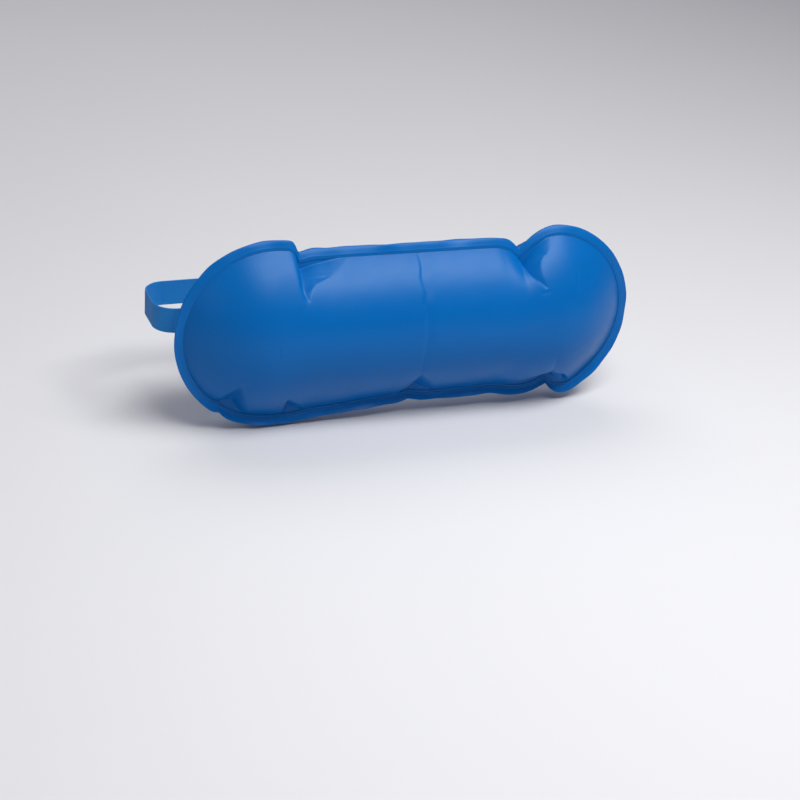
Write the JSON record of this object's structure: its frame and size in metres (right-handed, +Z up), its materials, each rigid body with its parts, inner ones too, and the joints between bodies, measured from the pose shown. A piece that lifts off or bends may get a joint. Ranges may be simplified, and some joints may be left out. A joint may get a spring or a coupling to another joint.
{
  "type": "inflatable lumbar support cushion",
  "caption": "Dog-bone-shaped inflatable vinyl lumbar cushion with a welded edge, held on a chair's back by an elastic webbing loop with a side-release buckle.",
  "frame": {"origin": "middle of the cushion's flat rear face, the part that lies against the chair's back", "axes": "+X along the cushion, to the right as seen from the front (the sitter's left), -Y towards the sitter, +Z up"},
  "size_m": [0.4716, 0.1638, 0.185],
  "materials": {
    "vinyl": "satin royal blue film",
    "valve_vinyl": "soft translucent moulding",
    "webbing": "ribbed woven elastic",
    "thread": "sewing thread",
    "buckle_plastic": "moulded, fine texture"
  },
  "bodies": {
    "cushion": {"rear_film": "vinyl", "strap_anchor_left": "vinyl", "strap_anchor_right": "vinyl", "anchor_stitch_left": "thread", "anchor_stitch_right": "thread", "valve_flange": "valve_vinyl", "strap_side_left": "webbing", "strap_side_right": "webbing"},
    "front_panel": {"front_film": "vinyl"},
    "strap_rear": {"strap_rear_left": "webbing", "strap_rear_right": "webbing", "bar_tack": "thread", "buckle_receptacle": "buckle_plastic", "buckle_plug": "buckle_plastic"},
    "latch_arm_upper": {"latch_arm_upper": "buckle_plastic"},
    "latch_arm_lower": {"latch_arm_lower": "buckle_plastic"},
    "tail_keeper": {"tail_keeper": "buckle_plastic"},
    "valve_stem": {"valve_stem": "valve_vinyl", "valve_tether": "valve_vinyl"},
    "valve_plug": {"valve_plug": "valve_vinyl"},
    "valve_flap": {"valve_check_flap": "valve_vinyl"}
  },
  "joints": [
    {"name": "inflation", "type": "slide", "parent": "cushion", "child": "front_panel", "axis": [0, 1, 0], "range_m": [0, 0.025], "deforming": ["front_film"]},
    {"name": "strap_stretch", "type": "slide", "parent": "cushion", "child": "strap_rear", "axis": [0, 1, 0], "range_m": [-0.025, 0.04], "stiffness_N_per_m": 300, "deforming": ["strap_side_left", "strap_side_right"]},
    {"name": "latch_upper_pinch", "type": "hinge", "parent": "strap_rear", "child": "latch_arm_upper", "pos_m": [0.0072, 0.0745, 0.0092], "axis": [0, 1, 0], "range_deg": [-8, 0], "stiffness_Nm_per_rad": 0.05},
    {"name": "latch_lower_pinch", "type": "hinge", "parent": "strap_rear", "child": "latch_arm_lower", "pos_m": [0.0072, 0.0745, -0.0092], "axis": [0, 1, 0], "range_deg": [0, 8], "stiffness_Nm_per_rad": 0.05},
    {"name": "keeper_slide", "type": "slide", "parent": "strap_rear", "child": "tail_keeper", "axis": [1, 0, 0], "range_m": [-0.025, 0.03]},
    {"name": "valve_pull", "type": "slide", "parent": "cushion", "child": "valve_stem", "axis": [0.3011, 0.885, -0.3552], "range_m": [0, 0.01]},
    {"name": "plug_pull", "type": "slide", "parent": "valve_stem", "child": "valve_plug", "axis": [0.3011, 0.885, -0.3552], "range_m": [0, 0.012], "deforming": ["valve_tether"]},
    {"name": "flap_open", "type": "hinge", "parent": "valve_stem", "child": "valve_flap", "pos_m": [0.15945, -0.02156, -0.05023], "axis": [-0.4176, -0.2125, -0.8834], "range_deg": [0, 45], "stiffness_Nm_per_rad": 0.0005}
  ]
}
